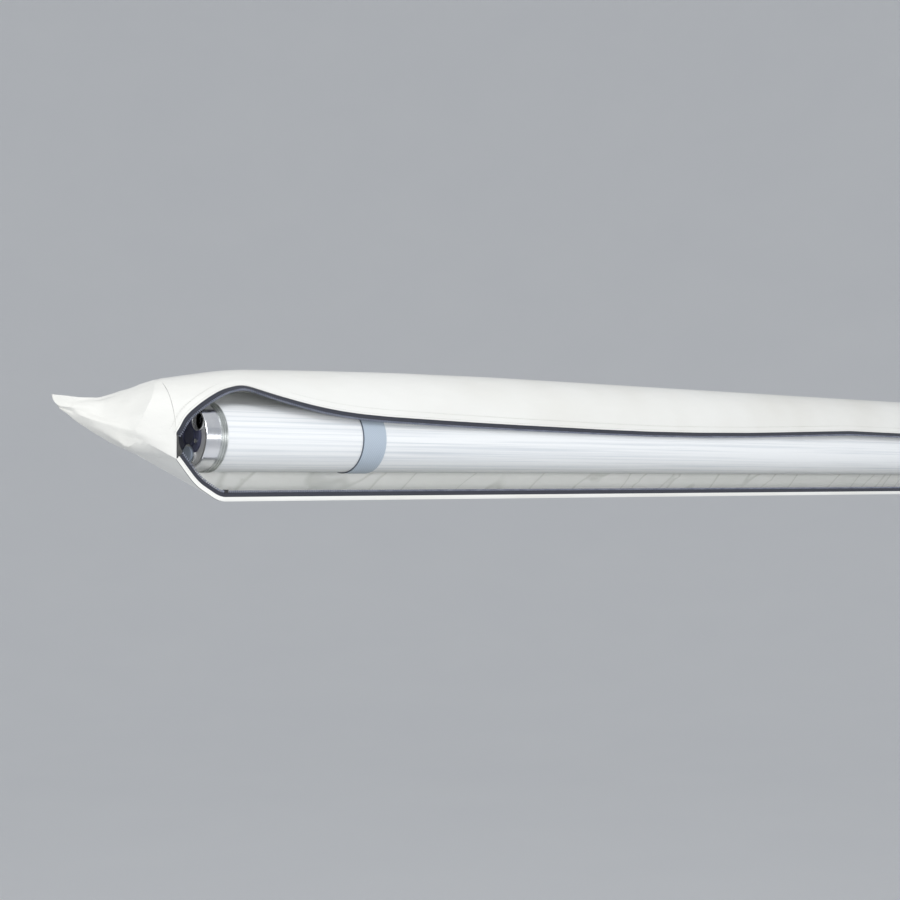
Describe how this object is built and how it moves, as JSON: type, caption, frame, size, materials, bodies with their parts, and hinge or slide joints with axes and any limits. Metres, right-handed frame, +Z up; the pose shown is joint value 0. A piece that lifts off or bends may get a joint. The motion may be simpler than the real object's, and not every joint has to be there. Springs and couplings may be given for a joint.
{
  "type": "roll out awning",
  "caption": "Caravan bag awning: zipped cloth bag on a keder bead, holding a canopy wound on a roller tube with telescopic legs and rafters inside.",
  "frame": {"origin": "centre of the keder bead half way along the bag", "axes": "+X along the awning, +Y towards the wall it hangs on, +Z up"},
  "size_m": [2.52, 0.0988, 0.161],
  "materials": {
    "bag_cloth": "satin PVC coated cloth",
    "keder": "matt",
    "zip_tape": "woven tape",
    "zip_coil": "moulded",
    "zip_metal": "painted",
    "tube": "extruded",
    "canopy_cloth": "satin PVC coated cloth",
    "collar": "polished",
    "end_plate": "satin",
    "ferrule": "polished",
    "hub": "moulded",
    "screw": "zinc plated",
    "guide": "moulded",
    "strap": "woven webbing",
    "pole": "anodised",
    "foot": "moulded",
    "plug": "moulded"
  },
  "bodies": {
    "bag": {"back_panel": "bag_cloth", "floor_panel": "bag_cloth", "floor_corner_left": "bag_cloth", "floor_corner_right": "bag_cloth", "flap": "bag_cloth", "lip": "bag_cloth", "lip_corner_left": "bag_cloth", "lip_corner_right": "bag_cloth", "tail_left": "bag_cloth", "tail_right": "bag_cloth", "keder_bead": "keder", "keder_strip": "keder", "upper_zip_tape": "zip_tape", "upper_zip_coil": "zip_coil", "lower_zip_tape": "zip_tape", "lower_zip_coil": "zip_coil", "zip_stops": "zip_metal"},
    "canopy": {"canopy_web": "canopy_cloth"},
    "roller": {"roller_tube": "tube", "canopy_bead": "canopy_cloth", "canopy_roll": "canopy_cloth", "collar_left": "collar", "flange_left": "collar", "end_plate_left": "end_plate", "ferrules_left": "ferrule", "end_hub_left": "hub", "hub_screws_left": "screw", "pole_guides_left": "guide", "strap_left": "strap", "collar_right": "collar", "flange_right": "collar", "end_plate_right": "end_plate", "ferrules_right": "ferrule", "end_hub_right": "hub", "hub_screws_right": "screw", "pole_guides_right": "guide", "strap_right": "strap"},
    "slider": {"zip_slider": "zip_metal", "slider_pin": "zip_metal"},
    "puller": {"zip_puller": "zip_metal"},
    "leg_left": {"leg_tube_left": "pole"},
    "leg_inner_left": {"leg_inner_left": "pole", "leg_foot_left": "foot"},
    "rafter_left": {"rafter_tube_left": "pole"},
    "rafter_inner_left": {"rafter_inner_left": "pole", "rafter_plug_left": "plug"},
    "leg_right": {"leg_tube_right": "pole"},
    "leg_inner_right": {"leg_inner_right": "pole", "leg_foot_right": "foot"},
    "rafter_right": {"rafter_tube_right": "pole"},
    "rafter_inner_right": {"rafter_inner_right": "pole", "rafter_plug_right": "plug"}
  },
  "joints": [
    {"name": "roll_out", "type": "slide", "parent": "bag", "child": "canopy", "axis": [0, -0.9962, -0.0872], "range_m": [0, 2], "deforming": ["canopy_web", "flap", "upper_zip_tape", "upper_zip_coil"]},
    {"name": "roll_spin", "type": "hinge", "parent": "canopy", "child": "roller", "pos_m": [0, -0.048, -0.084], "axis": [-1, 0, 0], "range_deg": [0, 2880]},
    {"name": "zip_close", "type": "slide", "parent": "bag", "child": "slider", "axis": [-1, 0, 0], "range_m": [0, 2.135]},
    {"name": "puller_swing", "type": "hinge", "parent": "slider", "child": "puller", "pos_m": [1.06, -0.0931, -0.1457], "axis": [0, 0, -1], "range_deg": [0, 180]},
    {"name": "leg_left_out", "type": "slide", "parent": "roller", "child": "leg_left", "axis": [-1, 0, 0], "range_m": [0, 0.84]},
    {"name": "leg_left_telescope", "type": "slide", "parent": "leg_left", "child": "leg_inner_left", "axis": [-1, 0, 0], "range_m": [0, 0.72]},
    {"name": "rafter_left_out", "type": "slide", "parent": "roller", "child": "rafter_left", "axis": [-1, 0, 0], "range_m": [0, 0.64]},
    {"name": "rafter_left_telescope", "type": "slide", "parent": "rafter_left", "child": "rafter_inner_left", "axis": [-1, 0, 0], "range_m": [0, 0.56]},
    {"name": "leg_right_out", "type": "slide", "parent": "roller", "child": "leg_right", "axis": [1, 0, 0], "range_m": [0, 0.84]},
    {"name": "leg_right_telescope", "type": "slide", "parent": "leg_right", "child": "leg_inner_right", "axis": [1, 0, 0], "range_m": [0, 0.72]},
    {"name": "rafter_right_out", "type": "slide", "parent": "roller", "child": "rafter_right", "axis": [1, 0, 0], "range_m": [0, 0.64]},
    {"name": "rafter_right_telescope", "type": "slide", "parent": "rafter_right", "child": "rafter_inner_right", "axis": [1, 0, 0], "range_m": [0, 0.56]}
  ],
  "couplings": [
    {"joint": "roll_spin", "follows": "roll_out", "rad_per_m": 25.133},
    {"joint": "leg_left_out", "follows": "roll_out", "ratio": 0.42},
    {"joint": "leg_left_telescope", "follows": "roll_out", "ratio": 0.36},
    {"joint": "rafter_left_out", "follows": "roll_out", "ratio": 0.32},
    {"joint": "rafter_left_telescope", "follows": "roll_out", "ratio": 0.28},
    {"joint": "leg_right_out", "follows": "roll_out", "ratio": 0.42},
    {"joint": "leg_right_telescope", "follows": "roll_out", "ratio": 0.36},
    {"joint": "rafter_right_out", "follows": "roll_out", "ratio": 0.32},
    {"joint": "rafter_right_telescope", "follows": "roll_out", "ratio": 0.28}
  ]
}
